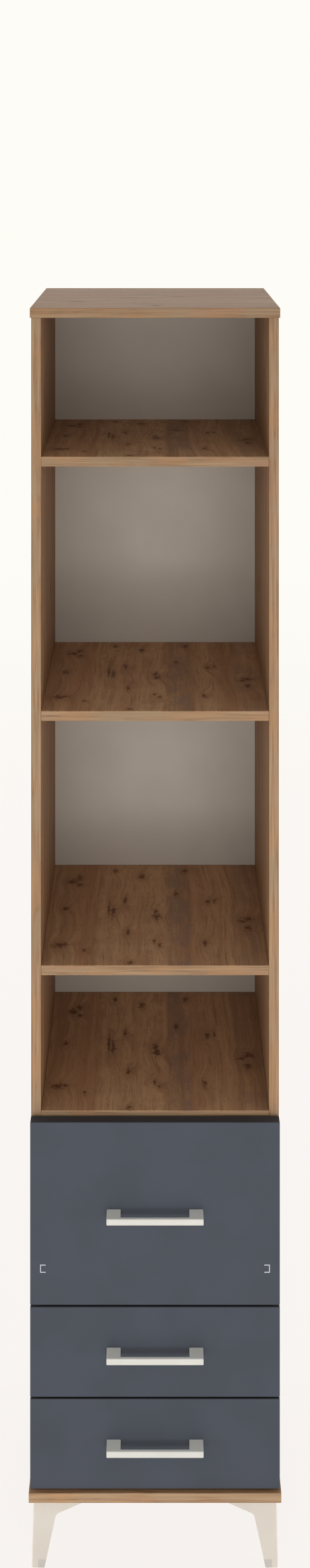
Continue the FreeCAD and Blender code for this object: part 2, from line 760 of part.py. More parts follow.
def drawer_bottom(label, height):
    """The thin bottom, held in the grooves of the front, the sides and the back."""
    body = part(label, height)
    reach = f"({BOX_HALF} - box_side + bottom_groove - groove_play)"
    slab(
        body,
        "panel",
        (mirrored(LEFT, reach), "groove_play - face_gap - bottom_groove", BOTTOM),
        (reach, f"{BOX_BACK_FRONT} + bottom_groove - groove_play",
         f"({BOTTOM} + bottom_thickness)"),
    )


def handle(label, height, front_height):
    """A flat bar on two broad posts, tapped for its screws."""
    body = part(label, height)
    middle = f"({front_height} / 2 + handle_rise)"
    end, post = "handle_length / 2", "handle_length / 2 - post_width"
    bar_face = f"{FACE} - handle_reach"
    bar_back = f"{bar_face} + bar_depth"
    corners = [
        (mirrored(LEFT, end), FACE),
        (mirrored(LEFT, end), bar_face),
        (end, bar_face),
        (end, FACE),
        (post, FACE),
        (post, bar_back),
        (mirrored(LEFT, post), bar_back),
        (mirrored(LEFT, post), FACE),
    ]
    sketch = outline(body, "XY_Plane", "bar", corners, f"{middle} - bar_height / 2")
    bar = add(body, sketch, "bar", "bar_height", 1)
    seat = -(sheet.face_gap + sheet.front_thickness)

    def is_exposed(edge):
        return min(vertex.Point.y for vertex in edge.Vertexes) < seat - 0.01

    ease(body, bar, "bar_round", is_exposed)
    screws = grid([mirrored(side, HANDLE_SCREW_X) for side in (LEFT, RIGHT)], [middle])
    holes(body, "XZ_Plane", "taps", screws, "handle_screw_radius + hole_play", f"-1 * {FACE}",
          "handle_screw_bite + hole_play", 1)


def handle_screws(label, height, front_height):
    """The two screws through a front into its handle."""
    body = part(label, height)
    screws = grid([mirrored(side, HANDLE_SCREW_X) for side in (LEFT, RIGHT)],
                  [f"{front_height} / 2 + handle_rise"])
    rods(body, "XZ_Plane", "shanks", screws, "handle_screw_radius", "face_gap",
         "front_thickness + handle_screw_bite", 1)
    rods(body, "XZ_Plane", "heads", screws, "handle_screw_head", "face_gap",
         "handle_screw_head_depth", -1)


def cam_locks(label, height, box_height):
    """The cams in the box sides, each drawing a bolt out of the front."""
    body = part(label, height)
    for word, side in SIDES.items():
        cams = grid(["cam_place - face_gap"], cam_levels(box_height))
        rods(body, "YZ_Plane", f"{word}_cams", cams, "cam_radius", mirrored(side, BOX_HALF),
             "cam_depth", -side)
    bolts = grid([mirrored(side, BOLT_X) for side in (LEFT, RIGHT)], cam_levels(box_height))
    rods(body, "XZ_Plane", "bolts", bolts, "cam_bolt_radius", "face_gap + cam_bolt_bite",
         "cam_bolt_bite + cam_place - cam_radius / 2", -1)


def runner_screws(label, height):
    """The screws of the two angles on a drawer."""
    body = part(label, height)
    for word, side in SIDES.items():
        rods(body, "YZ_Plane", f"{word}_shanks", runner_angle_screws(), "small_screw_radius",
             inward(side, "runner_space - runner_sheet"), "small_screw_length - hole_play", -side)
        rods(body, "YZ_Plane", f"{word}_heads", runner_angle_screws(), "small_screw_head",
             inward(side, "runner_space - runner_sheet"), "small_screw_head_depth", side)


def drawer(name, height, front_height, through_channels):
    """One drawer with its box, handle, fasteners and both halves of its runners."""
    box_height = f"({front_height} - box_lift - box_drop)"
    drawer_front(f"{name}_front", height, front_height, box_height, through_channels)
    drawer_back(f"{name}_back", height, box_height)
    drawer_bottom(f"{name}_bottom", height)
    handle(f"{name}_handle", height, front_height)
    handle_screws(f"{name}_handle_screws", height, front_height)
    cam_locks(f"{name}_cam_locks", height, box_height)
    runner_screws(f"{name}_runner_screws", height)
    tip = f"{FACE} - channel_proud" if through_channels else "channel_setback"
    for word, side in SIDES.items():
        drawer_side(f"{name}_side_{word}", side, height, box_height)
        runner_angle(f"{name}_runner_{word}", side, height)
        runner_channel(f"{name}_channel_{word}", side, height, tip)
    rollers(f"{name}_front_rollers", height, "front_roller_place", FRONT_ROLLER_HEIGHT,
            FRONT_ROLLER_START)
    rollers(f"{name}_rear_rollers", height, REAR_ROLLER_PLACE, "runner_rise",
            "rear_roller_inset")


# ---------------------------------------------------------------- the whole bookcase

def build():
    """Makes every sub-part."""
    for word, side in SIDES.items():
        side_panel(f"side_panel_{word}", side)
    cap_board("top_board", TOP, "(carcass_width / 2 + top_side_overhang)",
              "-1 * top_front_overhang", "0", "groove_depth", "board_thickness", -1)
    base_board()
    shelf("divider_board", DIVIDER)
    shelf("lower_shelf", LOWER_SHELF)
    shelf("middle_shelf", MIDDLE_SHELF)
    shelf("upper_shelf", UPPER_SHELF)
    back_panel()
    carcass_screws()
    mounting_screws()
    for end in ("front", "rear"):
        for word, side in SIDES.items():
            leg(f"{end}_leg_{word}", side, end)
    drawer("tall_drawer", TALL_FRONT, TALL_FRONT_SIZE, True)
    drawer("middle_drawer", MIDDLE_FRONT, "low_front", False)
    drawer("lower_drawer", LOWER_FRONT, "low_front", False)


def export():
    """Checks every object and writes each sub-part to its own file."""
    doc.recompute()
    for item in doc.Objects:
        if "Invalid" in item.State or "Error" in item.State:
            raise ValueError(f"{item.Label} failed: {item.State}")
    bodies = [item for item in doc.Objects if item.TypeId == "PartDesign::Body"]
    for body in bodies:
        if body.Shape.isNull() or not body.Shape.isValid():
            raise ValueError(f"{body.Label} has no valid shape")
    os.makedirs("parts", exist_ok=True)
    for body in bodies:
        body.Shape.exportStep(f"parts/{body.Label}.step")
    print(len(bodies), "sub-parts")


build()
export()
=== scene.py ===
import json
import math
import random

import bmesh
import bpy
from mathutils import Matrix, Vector

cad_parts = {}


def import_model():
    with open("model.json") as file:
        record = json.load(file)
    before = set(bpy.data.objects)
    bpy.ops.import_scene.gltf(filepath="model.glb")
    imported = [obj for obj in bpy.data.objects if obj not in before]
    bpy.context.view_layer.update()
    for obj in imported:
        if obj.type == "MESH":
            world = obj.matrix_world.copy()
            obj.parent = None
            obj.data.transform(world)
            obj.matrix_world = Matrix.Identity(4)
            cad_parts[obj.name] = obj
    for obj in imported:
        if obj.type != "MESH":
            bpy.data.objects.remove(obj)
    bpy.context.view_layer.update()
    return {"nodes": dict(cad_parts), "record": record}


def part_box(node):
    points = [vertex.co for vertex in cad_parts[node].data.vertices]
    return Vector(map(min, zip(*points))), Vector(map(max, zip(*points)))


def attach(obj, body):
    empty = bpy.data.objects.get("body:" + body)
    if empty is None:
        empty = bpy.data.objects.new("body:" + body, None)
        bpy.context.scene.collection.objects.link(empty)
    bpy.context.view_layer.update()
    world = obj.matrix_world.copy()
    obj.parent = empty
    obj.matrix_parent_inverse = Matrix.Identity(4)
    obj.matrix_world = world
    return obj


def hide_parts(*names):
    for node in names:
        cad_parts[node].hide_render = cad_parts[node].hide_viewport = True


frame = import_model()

# A narrow bookcase over three drawers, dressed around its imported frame. Everything is in metres: +Z
# is up and the drawers open towards -Y.

X, Y, Z = range(3)
LEFT, RIGHT = -1, 1
DRAWERS = ("tall_drawer", "middle_drawer", "lower_drawer")
SLOTS = {row["node"]: row["material_slot"] for row in frame["record"]["subparts"]}


def shade(red, green, blue):
    """A colour as a screen shows it, 0 to 255, for a shader's socket."""
    def channel(level):
        level /= 255
        return level / 12.92 if level <= 0.04045 else ((level + 0.055) / 1.055) ** 2.4

    return (channel(red), channel(green), channel(blue), 1.0)


# ---------------------------------------------------------------- shaders

NOISE_SPAN = (0.3, 0.7)  # where nearly all of a noise's values lie
# Between these parts of its normal along an axis, a surface goes over to facing that way.
FACING = (0.5, 0.6)
FACING_SOFTLY = (0.5, 0.7)
SPECULAR = 0.25  # of board, enamel and plastic
# The Mix node's sockets for colours. It has others of the same names for other kinds of value.
MIX_FIRST, MIX_SECOND, MIX_RESULT = 6, 7, 2


class Graph:
    """The node tree of a material or world, with short words for the nodes that are used here."""

    def __init__(self, owner):
        owner.use_nodes = True
        self.owner = owner
        self.tree = owner.node_tree

    def node(self, kind, **settings):
        made = self.tree.nodes.new("ShaderNode" + kind)
        for word, value in settings.items():
            setattr(made, word, value)
        return made

    def feed(self, socket, value):
        if isinstance(value, bpy.types.NodeSocket):
            self.tree.links.new(value, socket)
        else:
            socket.default_value = value

    def set(self, word, value):
        self.feed(self.tree.nodes["Principled BSDF"].inputs[word], value)

    def place(self):
        """The point on the object, in metres of the row frame."""
        return self.node("TexCoord").outputs["Object"]

    def part_of(self, vector, axis):
        split = self.node("SeparateXYZ")
        self.feed(split.inputs[0], vector)
        return split.outputs[axis]

    def size_along(self, vector, axis):
        return self.math("ABSOLUTE", self.part_of(vector, axis))

    def facing(self, axis, levels, elsewhere=0.0, there=1.0):
        """One value where the surface faces along an axis, either way, and another elsewhere."""
        normal = self.node("NewGeometry").outputs["Normal"]
        return self.spread(self.size_along(normal, axis), *levels, elsewhere, there)

    def math(self, operation, first, second=0.0):
        made = self.node("Math", operation=operation)
        self.feed(made.inputs[0], first)
        self.feed(made.inputs[1], second)
        return made.outputs[0]

    def vector(self, operation, first, second=(0.0, 0.0, 0.0)):
        made = self.node("VectorMath", operation=operation)
        self.feed(made.inputs[0], first)
        self.feed(made.inputs[1], second)
        return made.outputs["Value" if operation == "LENGTH" else "Vector"]

    def noise(self, where, scale=1.0, detail=2.0, roughness=0.5, distortion=0.0):
        made = self.node("TexNoise")
        self.feed(made.inputs["Vector"], where)
        for word, value in (("Scale", scale), ("Detail", detail), ("Roughness", roughness),
                            ("Distortion", distortion)):
            made.inputs[word].default_value = value
        return made.outputs["Fac"]

    def spread(self, value, low, high, to_low=0.0, to_high=1.0):
        """A value carried smoothly from one range to another, and held at its ends."""
        made = self.node("MapRange", interpolation_type="SMOOTHSTEP")
        for word, given in (("Value", value), ("From Min", low), ("From Max", high),
                            ("To Min", to_low), ("To Max", to_high)):
            self.feed(made.inputs[word], given)
        return made.outputs["Result"]

    def mix(self, share, first, second, blend="MIX"):
        made = self.node("Mix", data_type="RGBA", blend_type=blend)
        self.feed(made.inputs["Factor"], share)
        self.feed(made.inputs[MIX_FIRST], first)
        self.feed(made.inputs[MIX_SECOND], second)
        return made.outputs[MIX_RESULT]

    def bump(self, height, depth, strength):
        made = self.node("Bump")
        made.inputs["Strength"].default_value = strength
        made.inputs["Distance"].default_value = depth
        self.feed(made.inputs["Height"], height)
        self.set("Normal", made.outputs["Normal"])

    def end_in(self, output, share, first, second):
        """Ends the tree in a blend of two shaders."""
        blend = self.node("MixShader")
        for socket, value in zip(blend.inputs, (share, first, second)):
            self.feed(socket, value)
        self.feed(self.node(output).inputs["Surface"], blend.outputs[0])


# ---------------------------------------------------------------- oak laminate

FACE_TONES = {
    "pale": shade(202, 162, 122), "mid": shade(181, 140, 102), "dark": shade(142, 103, 72),
    "grey": shade(144, 118, 101), "red": shade(176, 126, 94), "knot": shade(91, 54, 34),
}
UPRIGHT_TONES = {
    "pale": shade(174, 139, 103), "mid": shade(155, 118, 86), "dark": shade(120, 86, 58),
    "grey": shade(128, 109, 94), "red": shade(149, 108, 80), "knot": shade(72, 45, 30),
}
EDGE_TONES = {
    "pale": shade(181, 150, 115), "mid": shade(161, 129, 98), "dark": shade(133, 102, 74),
    "pink": shade(168, 131, 104), "amber": shade(174, 132, 95), "grey": shade(161, 138, 111),
}
# Painted light and shade: how light the edge bands of each kind of board are against those tones, the
# base board's far lighter and the top's a little darker, as the light falls stronger low down.
PAINTED_EDGE_LIGHT = {"oak_upright": 1.03, "oak_shelf": 0.97, "oak_top": 0.96, "oak_base": 1.22}
# Painted shade: a darker greyish line where an upright's edge band meets its outer face, the rounded
# outer edge turning away from the light.
OUTER_EDGE_SHADE = shade(118, 102, 86)
OUTER_EDGE_SHADE_WIDTH = 0.0018
OUTER_EDGE_SHADE_SHARE = 0.7

# The noises that the grain is made of: how wide and how long the marks are, the noise's detail and
# its distortion.
FACE_GRAIN = {
    "growth": (0.011, 0.42, 4.0, 0.4),
    "broad": (0.06, 0.7, 2.0, 0.0),
    "flames": (0.0045, 0.075, 2.0, 0.2),
    "flecks": (0.0026, 0.013, 2.0, 0.0),
    "fibres": (0.0013, 0.06, 3.0, 0.0),
}
PORES = (0.0007, 0.011, 1.0, 0.0)
EDGE_GRAIN = {
    "bands": (0.0032, 0.13, 3.0, 0.0),
    "tints": (0.006, 0.11, 1.0, 0.0),
    "drift": (0.03, 0.07, 2.0, 0.0),
    "fibres": (0.0009, 0.05, 2.0, 0.0),
}
PORE_LEVELS = (0.26, 0.36)

# What a colour starts from: the levels of a noise between which it goes from the dark tone to the
# pale one, and the share of the middle tone that then evens it out.
FACE_GROUND = (NOISE_SPAN, 0.45)
EDGE_GROUND = ((0.34, 0.66), 0.35)

# The tones laid over it in turn: the noise that each follows, two levels of it, the share of the
# tone at each of them, and the tone. The rim is the ragged distance from a knot, in half sizes.
BROAD_LAYERS = (
    ("broad", (0.45, 0.7), (0.0, 0.5), "red"),
    ("broad", (0.3, 0.5), (0.35, 0.0), "pale"),
)
FINE_LAYERS = (
    ("flames", (0.56, 0.7), (0.0, 0.5), "dark"),
    ("flecks", (0.58, 0.72), (0.0, 0.5), "dark"),
    ("fibres", (0.35, 0.65), (0.3, 0.0), "dark"),
    ("pores", PORE_LEVELS, (0.35, 0.0), "knot"),
    ("rim", (0.6, 3.0), (0.36, 0.0), "dark"),
    ("rim", (0.1, 1.25), (0.85, 0.0), "knot"),
)
EDGE_LAYERS = (
    ("tints", (0.5, 0.68), (0.0, 0.6), "pink"),
    ("drift", (0.5, 0.62), (0.0, 0.5), "amber"),
    ("drift", (0.38, 0.5), (0.5, 0.0), "grey"),
    ("fibres", (0.3, 0.6), (0.25, 0.0), "dark"),
)

# The long sway of the grain: the noise's scale, in marks to the metre, and detail, and its width.
SWAY_NOISE = (5.0, 1.0)
SWAY = 0.03
# How the grain bends round a knot: two distances from it, in its half sizes, and the shift at each.
KNOT_BEND = (0.8, 4.0, 0.009, 0.0)
# What makes a knot ragged: the noise's scale, detail and roughness, and its reach in half sizes.
RAG_NOISE = (170.0, 3.0, 0.65)
RAG_REACH = 3.0
PAST_ALL_KNOTS = 9.0  # a distance at which no knot shows

OAK_ROUGHNESS = (0.62, 0.54)  # between the fibres and on them
OAK_RELIEF = (0.00012, 0.6)  # depth and strength
PORE_RELIEF = 0.6  # against that of the fibres

# Staves of the shelf boards: the middle of each across the board, its half width, its tone and how
# strong that is.
SHELF_STAVES = (
    (0.041, 0.020, "grey", 0.8), (-0.118, 0.013, "red", 0.6), (0.160, 0.026, "grey", 0.5),
    (-0.072, 0.026, "pale", 0.65), (-0.003, 0.021, "pale", 0.8), (0.090, 0.026, "pale", 0.4),
    (-0.165, 0.016, "grey", 0.15), (-0.036, 0.011, "pale", 0.5), (0.070, 0.007, "dark", 0.1),
)
STAVE_FADE = (0.7, 1.2)  # between which of its half widths a stave ends
# How uneven the staves' sides are: the noise's scale, and how far it carries them.
WANDER_SCALE = 6.0
WANDER = 0.02
# What breaks a stave up: the noise's scale, detail and roughness, then two levels and the share at
# each.
BREAK_NOISE = (22.0, 4.0, 0.7)
BREAK_LEVELS = (0.38, 0.6, 0.15, 1.0)

# Knots of the shelf boards: the place of each across and along the grain, and its half sizes across
# and along it.
SHELF_KNOTS = (
    (-0.155, 0.021, 0.006, 0.008), (-0.159, -0.090, 0.012, 0.009), (-0.150, -0.088, 0.010, 0.005),
    (-0.052, 0.049, 0.004, 0.015), (-0.072, 0.012, 0.005, 0.020), (-0.080, 0.022, 0.003, 0.026),
    (0.003, -0.003, 0.009, 0.012), (0.001, 0.012, 0.006, 0.010), (0.037, 0.069, 0.005, 0.008),
    (0.092, 0.043, 0.005, 0.010), (0.104, 0.048, 0.003, 0.008), (0.159, -0.011, 0.012, 0.008),
    (0.149, -0.018, 0.008, 0.006), (0.157, -0.040, 0.007, 0.010), (-0.024, 0.129, 0.007, 0.010),
    (-0.072, 0.149, 0.005, 0.008), (0.055, 0.149, 0.006, 0.008), (-0.116, -0.107, 0.004, 0.006),
    (-0.041, -0.141, 0.006, 0.005), (0.008, -0.090, 0.004, 0.007), (-0.001, -0.079, 0.003, 0.006),
    (-0.148, 0.112, 0.010, 0.010), (-0.136, 0.124, 0.007, 0.009), (-0.134, 0.100, 0.006, 0.006),
    (-0.045, -0.052, 0.004, 0.010), (0.082, -0.085, 0.005, 0.012),
)
# Scattered knots of the other boards: the seed, how many, and the spans across and along the grain.
UPRIGHT_KNOTS = (5, 16, (-0.14, 0.18), (0.18, 1.97))
FLAT_BOARD_KNOTS = (9, 5, (-0.12, 0.16), (-0.17, 0.17))
KNOT_HALF_ACROSS = (0.003, 0.007)
KNOT_HALF_ALONG = (0.007, 0.016)


def scattered_knots(seed, count, across, along):
    """Knots at random over a face, drawn small and long."""
    draw = random.Random(seed)
    spans = (across, along, KNOT_HALF_ACROSS, KNOT_HALF_ALONG)
    return [tuple(draw.uniform(*span) for span in spans) for _ in range(count)]


def axis_vector(values):
    """A vector that holds the given value on each named axis and 0 elsewhere."""
    return tuple(values.get(axis, 0.0) for axis in (X, Y, Z))


def streaks(graph, where, along, fine, long, detail, distortion):
    """Noise drawn out along one axis: its marks are fine metres wide and long metres long."""
    stretch = tuple(1 / long if axis == along else 1 / fine for axis in (X, Y, Z))
    drawn = graph.vector("MULTIPLY", where, stretch)
    return graph.noise(drawn, detail=detail, distortion=distortion)


def grains(graph, where, along, kinds):
    """The noises of a table, by their names."""
    return {word: streaks(graph, where, along, *row) for word, row in kinds.items()}


def knot_distance(graph, where, knots, across, along):
    """How far a point lies from the nearest knot, in the knot's own half sizes."""
    nearest = PAST_ALL_KNOTS
    for place_across, place_along, half_across, half_along in knots:
        centre = axis_vector({across: place_across, along: place_along})
        sizes = axis_vector({across: 1 / half_across, along: 1 / half_along})
        offset = graph.vector("SUBTRACT", where, centre)
        distance = graph.vector("LENGTH", graph.vector("MULTIPLY", offset, sizes))
        nearest = graph.math("MINIMUM", nearest, distance)
    return nearest


def swayed(graph, where, across, distance):
    """The point that the grain reads: it sways gently, and bends round the knots."""
    sway = graph.math("MULTIPLY", graph.noise(where, *SWAY_NOISE), SWAY)
    bend = graph.math("ADD", sway, graph.spread(distance, *KNOT_BEND))
    shift = graph.node("CombineXYZ")
    graph.feed(shift.inputs[across], bend)
    return graph.vector("ADD", where, shift.outputs[0])


def round_corner(graph, where):
    """The point that a grain along X reads, turned to run along Y on a board's two ends."""
    made = graph.node("CombineXYZ")
    for to, axis in ((X, Y), (Y, X), (Z, Z)):
        graph.feed(made.inputs[to], graph.part_of(where, axis))
    apart = graph.vector("SUBTRACT", made.outputs[0], where)
    return graph.vector("ADD", where, graph.vector("MULTIPLY", apart, graph.facing(X, FACING)))


def ground(graph, noise, levels, even, tones):
    """The colour under the layers, dark to pale with a noise and evened out by the middle tone."""
    colour = graph.mix(graph.spread(noise, *levels), tones["dark"], tones["pale"])
    return graph.mix(even, colour, tones["mid"])


def layered(graph, colour, grain, layers, tones):
    """A colour with tones laid over it in turn."""
    for word, levels, shares, tone in layers:
        colour = graph.mix(graph.spread(grain[word], *levels, *shares), colour, tones[tone])
    return colour


def staved(graph, face, where, across, tones, staves):
    """Staves of other tones, soft at their glue lines and a little uneven in width."""
    wander = graph.math("MULTIPLY", graph.noise(where, WANDER_SCALE), WANDER)
    place = graph.math("ADD", graph.part_of(where, across), wander)
    breaks = graph.spread(graph.noise(where, *BREAK_NOISE), *BREAK_LEVELS)
    core, rim = STAVE_FADE
    for middle, half, tone, strength in staves:
        off = graph.math("ABSOLUTE", graph.math("SUBTRACT", place, middle + WANDER / 2))
        inside = graph.spread(off, half * core, half * rim, strength, 0.0)
        face = graph.mix(graph.math("MULTIPLY", breaks, inside), face, tones[tone])
    return face


def oak(name, along, across, edge_along, tones, knots, staves=(), outer_shade_at=None):
    """Knotty oak laminate, its grain along one axis on the faces and another on the edge bands."""
    graph = Graph(bpy.data.materials.new(name))
    where = graph.place()
    distance = knot_distance(graph, where, knots, across, along)
    grain = grains(graph, swayed(graph, where, across, distance), along, FACE_GRAIN)
    grain["pores"] = streaks(graph, where, along, *PORES)
    rags = graph.math("SUBTRACT", graph.noise(where, *RAG_NOISE), 0.5)
    grain["rim"] = graph.math("ADD", distance, graph.math("MULTIPLY", rags, RAG_REACH))

    face = ground(graph, grain["growth"], *FACE_GROUND, tones)
    face = layered(graph, face, grain, BROAD_LAYERS, tones)
    face = staved(graph, face, where, across, tones, staves)
    face = layered(graph, face, grain, FINE_LAYERS, tones)

    # edge bands: straight grain with no knots
    band = round_corner(graph, where) if edge_along == X else where
    edge_grain = grains(graph, band, edge_along, EDGE_GRAIN)
    edge = ground(graph, edge_grain["bands"], *EDGE_GROUND, EDGE_TONES)
    edge = layered(graph, edge, edge_grain, EDGE_LAYERS, EDGE_TONES)
    # painted light and shade: each kind of board's edge bands lightened or darkened by a gain
    edge_light = PAINTED_EDGE_LIGHT[name]
    edge = graph.mix(1.0, edge, (edge_light, edge_light, edge_light, 1.0), "MULTIPLY")
    # painted shade: a darker line along the outer rim of the upright's edge band
    if outer_shade_at:
        out = graph.size_along(where, X)
        edge = graph.mix(graph.spread(out, outer_shade_at - OUTER_EDGE_SHADE_WIDTH, outer_shade_at, 0.0, OUTER_EDGE_SHADE_SHARE), edge, OUTER_EDGE_SHADE)
    flat = X + Y + Z - along - across  # the axis that the faces look along
    graph.set("Base Color", graph.mix(graph.facing(flat, FACING, 1.0, 0.0), face, edge))

    graph.set("Roughness", graph.spread(grain["fibres"], *NOISE_SPAN, *OAK_ROUGHNESS))
    graph.set("Specular IOR Level", SPECULAR)
    dents = graph.math("MULTIPLY", graph.spread(grain["pores"], *PORE_LEVELS), PORE_RELIEF)
    graph.bump(graph.math("ADD", grain["fibres"], dents), *OAK_RELIEF)
    return graph.owner


# ---------------------------------------------------------------- plain finishes

# The greyer patch on each foot: its tone, its share, and where it fades outwards and upwards.
FOOT_TONE = shade(192, 188, 185)
FOOT_SHARE = 0.65
FOOT_OUT = (0.1865, 0.189)
FOOT_UP = (0.0115, 0.0145)
# Painted shade on the drawer fronts' edge faces, standing for the shade in the gaps between them.
FRONT_EDGE_SHADE = shade(62, 60, 62)

CLOUD_DETAIL = 3.0
RELIEF_STRENGTH = 0.5
SMOOTHER, ROUGHER = 0.04, 0.05  # how far the roughness goes below its figure and above it
COAT_ROUGHNESS = 0.25


def foot_patch(graph, where, face):
    """The greyer patch low on the inner half of each foot."""
    inner = graph.spread(graph.size_along(where, X), *FOOT_OUT, 1.0, 0.0)
    low = graph.spread(graph.part_of(where, Z), *FOOT_UP, 1.0, 0.0)
    outward = graph.facing(Y, FACING_SOFTLY, 0.0, FOOT_SHARE)
    share = graph.math("MULTIPLY", graph.math("MULTIPLY", inner, low), outward)
    return graph.mix(share, face, FOOT_TONE)


def shaded_front_edges(graph, where, face):
    """Painted shade: the edge faces round the drawer fronts darkened, as they lie in the shade of the
    gaps.
    """
    return graph.mix(graph.facing(Y, FACING_SOFTLY, 1.0, 0.0), face, FRONT_EDGE_SHADE)


# Of each finish: two close tones, the roughness, the size of the clouds that they lie in, the size
# of the relief's grain and its depth, and what else it has.
METAL = {"metallic": 1.0, "specular": 0.5}
PLAIN_FINISHES = {
    # the drawer fronts' finish carries painted shade on its edge faces
    "front_laminate": ((71, 76, 85), (75, 80, 90), 0.5, 0.09, 0.0011, 0.00005,
                       {"specular": 0.15, "mark": shaded_front_edges}),
    "back_board": ((190, 182, 171), (196, 188, 178), 0.55, 0.12, 0.0013, 0.00004, {}),
    "drawer_box_laminate": ((196, 192, 184), (202, 198, 191), 0.5, 0.08, 0.0012, 0.00005, {}),
    "drawer_bottom_board": ((206, 203, 197), (212, 209, 203), 0.45, 0.08, 0.0014, 0.00004, {}),
    "handle_enamel": ((220, 219, 212), (225, 224, 217), 0.32, 0.03, 0.0009, 0.00003,
                      {"coat": 0.1}),
    "leg_plastic": ((221, 213, 202), (225, 218, 208), 0.45, 0.05, 0.0006, 0.00004,
                    {"mark": foot_patch}),
    "runner_enamel": ((191, 198, 207), (198, 205, 214), 0.42, 0.03, 0.0008, 0.00005, {}),
    "roller_plastic": ((206, 204, 198), (214, 212, 206), 0.4, 0.02, 0.0005, 0.00003, {}),
    "fastener_steel": ((176, 176, 172), (190, 190, 188), 0.32, 0.008, 0.0004, 0.00002, METAL),
    "zinc_cast": ((158, 158, 160), (172, 172, 174), 0.45, 0.01, 0.0006, 0.00005, METAL),
}

# The kind of oak on each board that has it.
OAK_BOARDS = {
    "side_panel_left": "oak_upright",
    "side_panel_right": "oak_upright",
    "divider_board": "oak_shelf",
    "lower_shelf": "oak_shelf",
    "middle_shelf": "oak_shelf",
    "upper_shelf": "oak_shelf",
    "top_board": "oak_top",
    "base_board": "oak_base",
}


def mottled(name, first, second, roughness, cloud, grain, depth, metallic=0.0, coat=0.0,
            specular=SPECULAR, mark=None):
    """A near-plain finish: two close tones in soft clouds, under a fine relief."""
    graph = Graph(bpy.data.materials.new(name))
    where = graph.place()
    clouds = graph.noise(where, 1 / cloud, CLOUD_DETAIL)
    fine = graph.noise(where, 1 / grain)
    face = graph.mix(graph.spread(clouds, *NOISE_SPAN), shade(*first), shade(*second))
    graph.set("Base Color", mark(graph, where, face) if mark else face)
    graph.set("Roughness", graph.spread(fine, *NOISE_SPAN, roughness - SMOOTHER,
                                        roughness + ROUGHER))
    graph.set("Metallic", metallic)
    graph.set("Specular IOR Level", specular)
    graph.set("Coat Weight", coat)
    graph.set("Coat Roughness", COAT_ROUGHNESS)
    graph.bump(fine, depth, RELIEF_STRENGTH)
    return graph.owner


def finishes():
    """The material of each slot, and of each kind of oak board."""
    side_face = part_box("side_panel_right")[1][X]
    flat_knots = scattered_knots(*FLAT_BOARD_KNOTS)
    made = {
        "oak_upright": oak("oak_upright", Z, Y, Z, UPRIGHT_TONES, scattered_knots(*UPRIGHT_KNOTS),
                           outer_shade_at=side_face),
        "oak_shelf": oak("oak_shelf", Y, X, X, FACE_TONES, SHELF_KNOTS, SHELF_STAVES),
        "oak_top": oak("oak_top", X, Y, X, UPRIGHT_TONES, flat_knots),
        "oak_base": oak("oak_base", X, Y, X, UPRIGHT_TONES, flat_knots),
    }
    for name, (*figures, more) in PLAIN_FINISHES.items():
        made[name] = mottled(name, *figures, **more)
    return made


def dress_frame(made):
    """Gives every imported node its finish."""
    for name, node in frame["nodes"].items():
        for slot in node.material_slots:
            slot.material = made[OAK_BOARDS.get(name, SLOTS[name])]


# ---------------------------------------------------------------- fasteners

RING = 48  # corners round a fastener
SAME_POINT = 1e-6  # closer points are one point
SAME_LEVEL = 1e-5  # points this near to a level lie on it
LEVEL_DIGITS = 6  # how finely levels are told apart
SHARP = math.radians(35)  # edges that turn by more stay sharp


def solids(node):
    """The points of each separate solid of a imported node."""
    mesh = bmesh.new()
    mesh.from_mesh(frame["nodes"][node].data)
    bmesh.ops.remove_doubles(mesh, verts=mesh.verts, dist=SAME_POINT)
    left = set(mesh.verts)
    found = []
    for start in mesh.verts:
        if start not in left:
            continue
        left.discard(start)
        reached = [start]
        for point in reached:
            for edge in point.link_edges:
                other = edge.other_vert(point)
                if other in left:
                    left.discard(other)
                    reached.append(other)
        found.append([point.co.copy() for point in reached])
    mesh.free()
    return found


def corners(points):
    """The lowest and the highest corner of the box round some points."""
    return ([min(point[axis] for point in points) for axis in (X, Y, Z)],
            [max(point[axis] for point in points) for axis in (X, Y, Z)])


def slice_at(points, axis, level):
    """The centre and radius of a solid's round end at one level along its axis."""
    ring = [point for point in points if abs(point[axis] - level) < SAME_LEVEL]
    centre = Vector((low + high) / 2 for low, high in zip(*corners(ring)))
    return centre, max((point - centre).length for point in ring)


def cross_recess(angle, reach, half):
    """How far a four-armed recess reaches at an angle."""
    turn = (angle + math.pi / 4) % (math.pi / 2) - math.pi / 4
    if abs(math.tan(turn)) < half / reach:
        return reach / math.cos(turn)
    return half / abs(math.sin(turn))


def hex_recess(angle, across_flats):
    """How far a six-sided recess reaches at an angle."""
    turn = (angle + math.pi / 6) % (math.pi / 3) - math.pi / 6
    return across_flats / 2 / math.cos(turn)


# The drives in the screws' heads: the kind of recess, its sizes and its depth.
CARCASS_DRIVE = (hex_recess, (0.0044,), 0.0022)
HANDLE_DRIVE = (cross_recess, (0.0024, 0.0007), 0.0017)
SHORT_SCREW_DRIVE = (cross_recess, (0.0019, 0.00055), 0.0008)
RECESS_FLOOR = 0.72  # how wide a recess still is at its floor

# A head's chamfer: its width against the head's radius, and its height against that width.
CHAMFER = 0.12
CHAMFER_HEIGHT = 0.7

# Against the shank's radius: the thread's pitch and root, how far from the end it stops, how far
# from it the point narrows and to what, and the radius of the tip.
PITCH = 0.8
ROOT = 0.74
THREAD_STOP = 1.2
POINT_LENGTH = 0.2
POINT_RADIUS = 0.25
TIP_RADIUS = 0.08

# Covers of the screw heads: how far outside the head they start and end, how deep their bevel is,
# and how far inside the head's rim their foot, side and top lie.
COVER_FOOT = 0.0001
COVER_TOP = 0.00092
COVER_BEVEL = 0.0002
COVER_INSETS = (0.0003, 0.0002, 0.0005)

